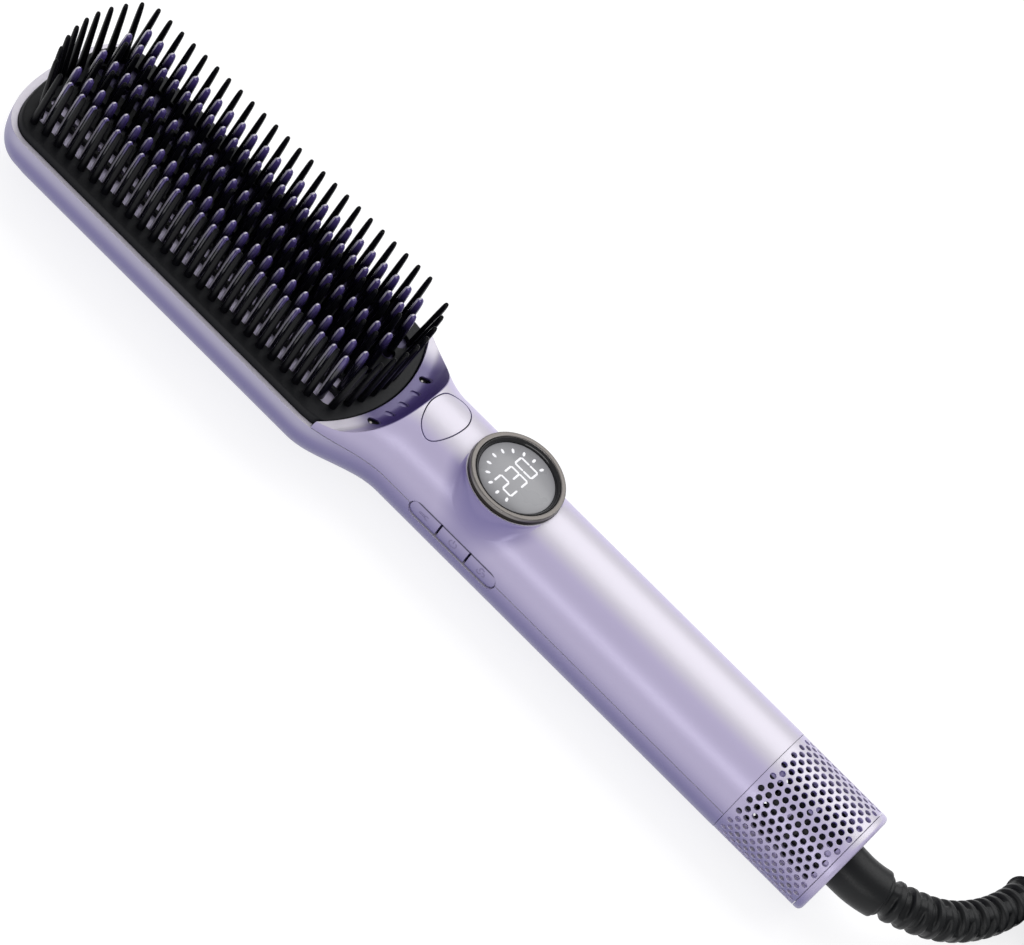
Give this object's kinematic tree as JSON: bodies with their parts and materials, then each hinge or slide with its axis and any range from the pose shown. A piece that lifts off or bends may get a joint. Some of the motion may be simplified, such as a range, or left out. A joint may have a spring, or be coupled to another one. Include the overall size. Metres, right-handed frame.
{
  "type": "hot air straightening brush",
  "caption": "Corded hot air straightening brush with a toothed heated plate, black pin bed, round display, side and cool shot buttons, axial fan and a perforated inlet cap.",
  "frame": {"origin": "centre of the brush's box, cord left out, on the surface that it lies on", "axes": "+X along the handle towards the cord, -Y towards the side with three buttons, +Z the way the bristles point"},
  "size_m": [0.4684, 0.1391, 0.0468],
  "materials": {
    "lilac_shell": "pearl satin",
    "black_plastic": "satin",
    "violet_coating": "gloss coating on aluminium",
    "ceramic": "matt",
    "steel": "bright",
    "brass": "plain",
    "sensor_resin": "gloss",
    "circuit_board": "solder mask",
    "module_case": "satin",
    "grey_glass": "gloss",
    "gunmetal_ring": "brushed gunmetal",
    "fan_plastic": "satin",
    "rubber_sleeve": "matt",
    "copper_winding": "enamelled wire",
    "cord_jacket": "satin"
  },
  "bodies": {
    "body": {"lower_shell": "lilac_shell", "upper_cover": "lilac_shell", "bristle_base": "black_plastic", "heated_plate": "violet_coating", "heater_strip": "ceramic", "heater_clamp": "steel", "thermal_fuse": "brass", "temperature_sensor": "sensor_resin", "plate_screws": "steel", "air_duct": "black_plastic", "heater_sleeve": "ceramic", "heater_frame": "ceramic", "heater_coil": "steel", "main_board": "circuit_board", "ion_generator": "module_case", "ion_emitters": "steel", "display_board": "circuit_board", "display_holder": "black_plastic", "display_surround": "black_plastic", "display_lens": "grey_glass", "display_bezel": "gunmetal_ring", "button_board": "circuit_board", "cool_switch": "circuit_board", "motor_sleeve": "rubber_sleeve", "fan_housing": "fan_plastic", "motor_stator": "copper_winding", "motor_bearings": "steel", "supply_leads": "cord_jacket", "tail_frame": "black_plastic", "shell_screws": "steel", "cord_boot": "cord_jacket", "strain_relief": "cord_jacket", "power_cord": "cord_jacket", "cord_coil": "cord_jacket", "cord_tail": "cord_jacket", "plug_body": "cord_jacket", "plug_pins": "steel"},
    "rotor": {"motor_rotor": "steel", "impeller": "fan_plastic"},
    "inlet_cap": {"inlet_grille": "lilac_shell", "filter_cage": "lilac_shell", "filter_mesh": "steel", "cap_end": "lilac_shell"},
    "temperature_button_body": {"temperature_button": "lilac_shell"},
    "power_button_body": {"power_button": "lilac_shell"},
    "fan_button_body": {"fan_button": "lilac_shell"},
    "cool_button_body": {"cool_button": "lilac_shell"}
  },
  "joints": [
    {"name": "fan_spin", "type": "hinge", "parent": "body", "child": "rotor", "pos_m": [0.08, 0, 0.018], "axis": [1, 0, 0], "continuous": true},
    {"name": "cap_pull", "type": "slide", "parent": "body", "child": "inlet_cap", "axis": [1, 0, 0], "range_m": [0, 0.009]},
    {"name": "temperature_press", "type": "slide", "parent": "body", "child": "temperature_button_body", "axis": [0, 1, 0], "range_m": [0, 0.0008], "stiffness_N_per_m": 800},
    {"name": "power_press", "type": "slide", "parent": "body", "child": "power_button_body", "axis": [0, 1, 0], "range_m": [0, 0.0008], "stiffness_N_per_m": 800},
    {"name": "fan_press", "type": "slide", "parent": "body", "child": "fan_button_body", "axis": [0, 1, 0], "range_m": [0, 0.0008], "stiffness_N_per_m": 800},
    {"name": "cool_press", "type": "slide", "parent": "body", "child": "cool_button_body", "axis": [0, 0, -1], "range_m": [0, 0.0007], "stiffness_N_per_m": 800}
  ]
}
